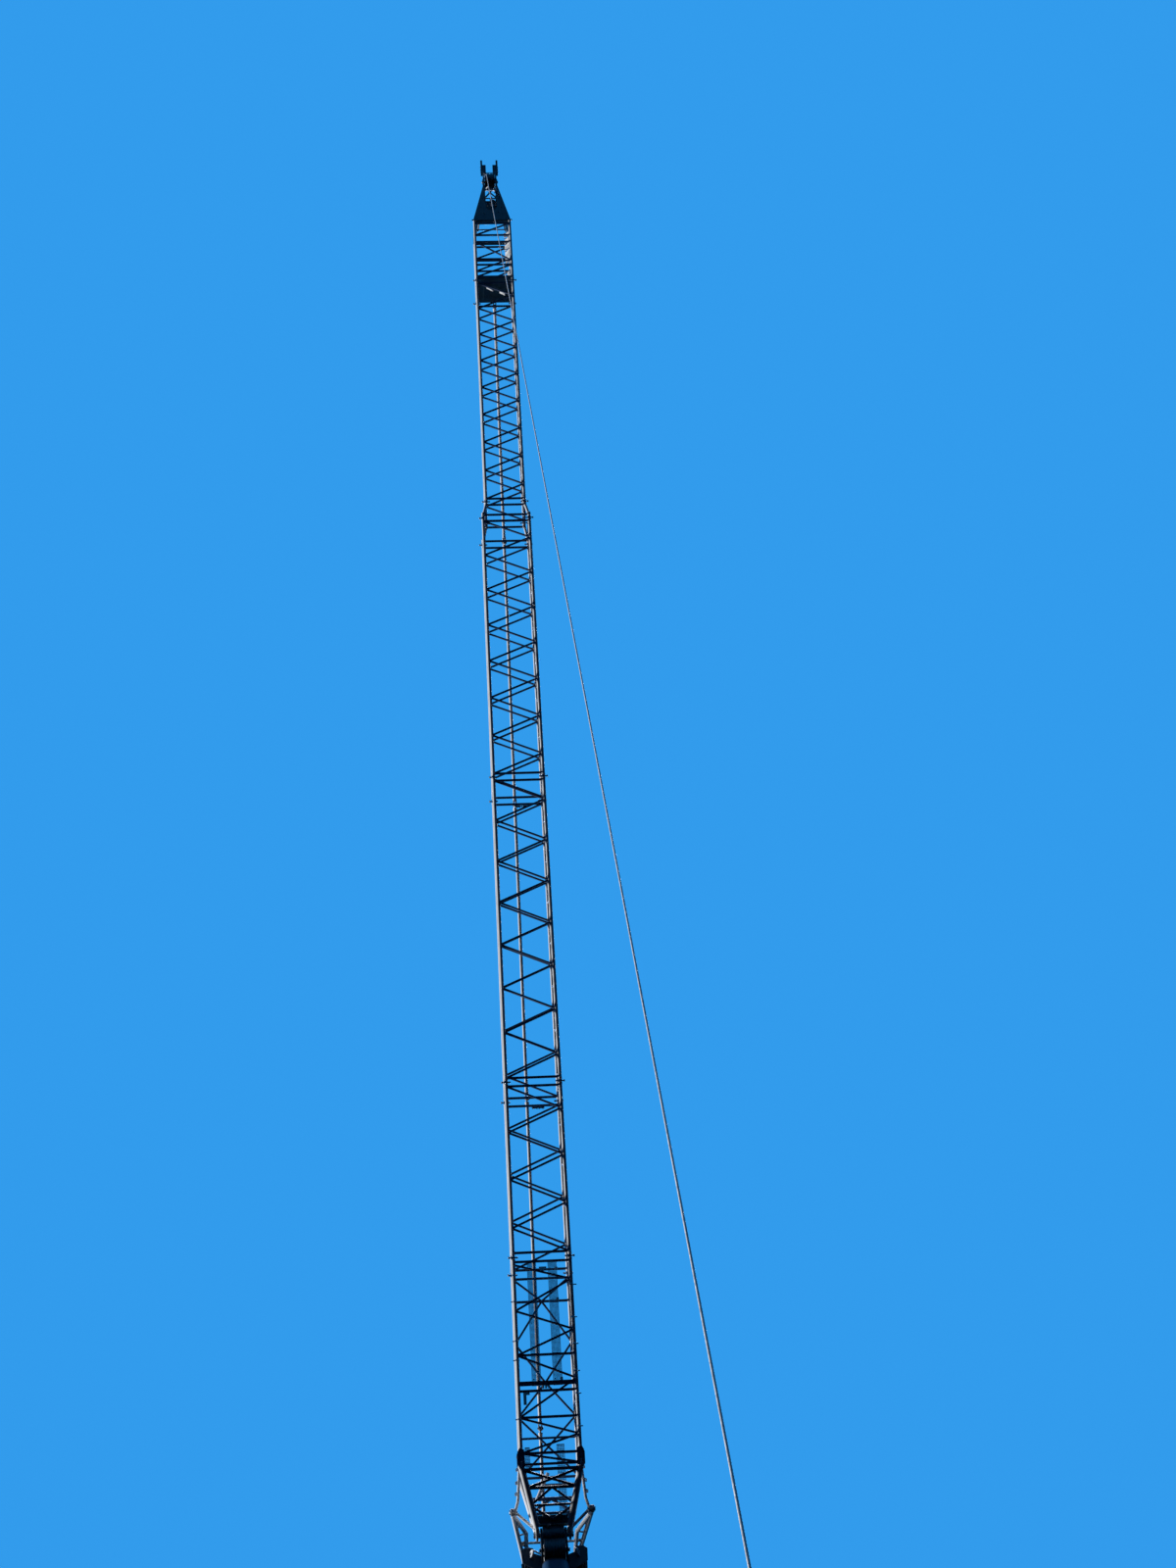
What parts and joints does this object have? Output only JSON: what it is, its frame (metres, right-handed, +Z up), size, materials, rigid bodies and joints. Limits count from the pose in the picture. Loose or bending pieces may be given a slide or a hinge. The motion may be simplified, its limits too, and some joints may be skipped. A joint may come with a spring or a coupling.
{
  "type": "scale model of a crane's lattice luffing jib on its boom head (1:10)",
  "caption": "Lattice luffing jib of a crane on a stub of boom, with an A-frame, pendant, head sheaves and a plumb hoist rope with ball weight and hook.",
  "frame": {"origin": "middle of the underside of the plate that closes the cut boom", "axes": "+Z up along the boom, -Y towards the way the jib leans, X along the jib's foot pin"},
  "size_m": [0.262, 4.1966, 8.6099],
  "materials": {
    "lattice_paint": "satin",
    "dark_plate": "satin",
    "boom_paint": "satin",
    "head_black": "satin",
    "pin_steel": "satin",
    "sheave_iron": "satin",
    "pendant_paint": "satin",
    "grating": "satin",
    "rope_steel": "satin",
    "weight_paint": "satin",
    "hook_paint": "satin"
  },
  "bodies": {
    "boom": {"base_plate": "head_black", "boom_box": "boom_paint", "boom_head": "head_black", "boom_head_axle": "pin_steel", "jib_pivot_pin": "pin_steel"},
    "boom_sheaves": {"boom_head_sheaves": "sheave_iron"},
    "head_sheaves": {"head_sheave": "sheave_iron"},
    "hoist_line": {"hoist_rope": "rope_steel", "hoist_weight": "weight_paint", "hook": "hook_paint"},
    "jib": {"butt_left_side": "lattice_paint", "butt_right_side": "lattice_paint", "butt_underside": "lattice_paint", "butt_top": "lattice_paint", "butt_beams": "lattice_paint", "walkway_gratings": "grating", "section_1_left_side": "lattice_paint", "section_1_right_side": "lattice_paint", "section_1_underside": "lattice_paint", "section_1_top": "lattice_paint", "section_2_left_side": "lattice_paint", "section_2_right_side": "lattice_paint", "section_2_underside": "lattice_paint", "section_2_top": "lattice_paint", "section_3_left_side": "lattice_paint", "section_3_right_side": "lattice_paint", "section_3_underside": "lattice_paint", "section_3_top": "lattice_paint", "reducer": "lattice_paint", "section_4_left_side": "lattice_paint", "section_4_right_side": "lattice_paint", "section_4_underside": "lattice_paint", "section_4_top": "lattice_paint", "head_section_left_side": "lattice_paint", "head_section_right_side": "lattice_paint", "head_section_underside": "lattice_paint", "head_section_top": "lattice_paint", "joint_pins": "pin_steel", "pendant_bulkhead": "dark_plate", "pendant_bars": "pendant_paint", "a_frame": "lattice_paint", "jib_head": "dark_plate", "rope_rollers": "sheave_iron", "head_sheave_axle": "pin_steel"}
  },
  "joints": [
    {"name": "luff", "type": "hinge", "parent": "boom", "child": "jib", "pos_m": [0, -0.046, 0.392], "axis": [1, 0, 0], "range_deg": [-20, 40]},
    {"name": "hoist_swing", "type": "hinge", "parent": "jib", "child": "hoist_line", "pos_m": [0, -3.36009, 5.13248], "axis": [1, 0, 0], "range_deg": [-40, 20]},
    {"name": "head_sheave_spin", "type": "hinge", "parent": "jib", "child": "head_sheaves", "pos_m": [0, -3.36009, 5.13248], "axis": [1, 0, 0], "continuous": true},
    {"name": "boom_sheave_spin", "type": "hinge", "parent": "boom", "child": "boom_sheaves", "pos_m": [0, -0.046, 0.33], "axis": [1, 0, 0], "continuous": true}
  ],
  "couplings": [
    {"joint": "hoist_swing", "follows": "luff", "ratio": -1}
  ]
}
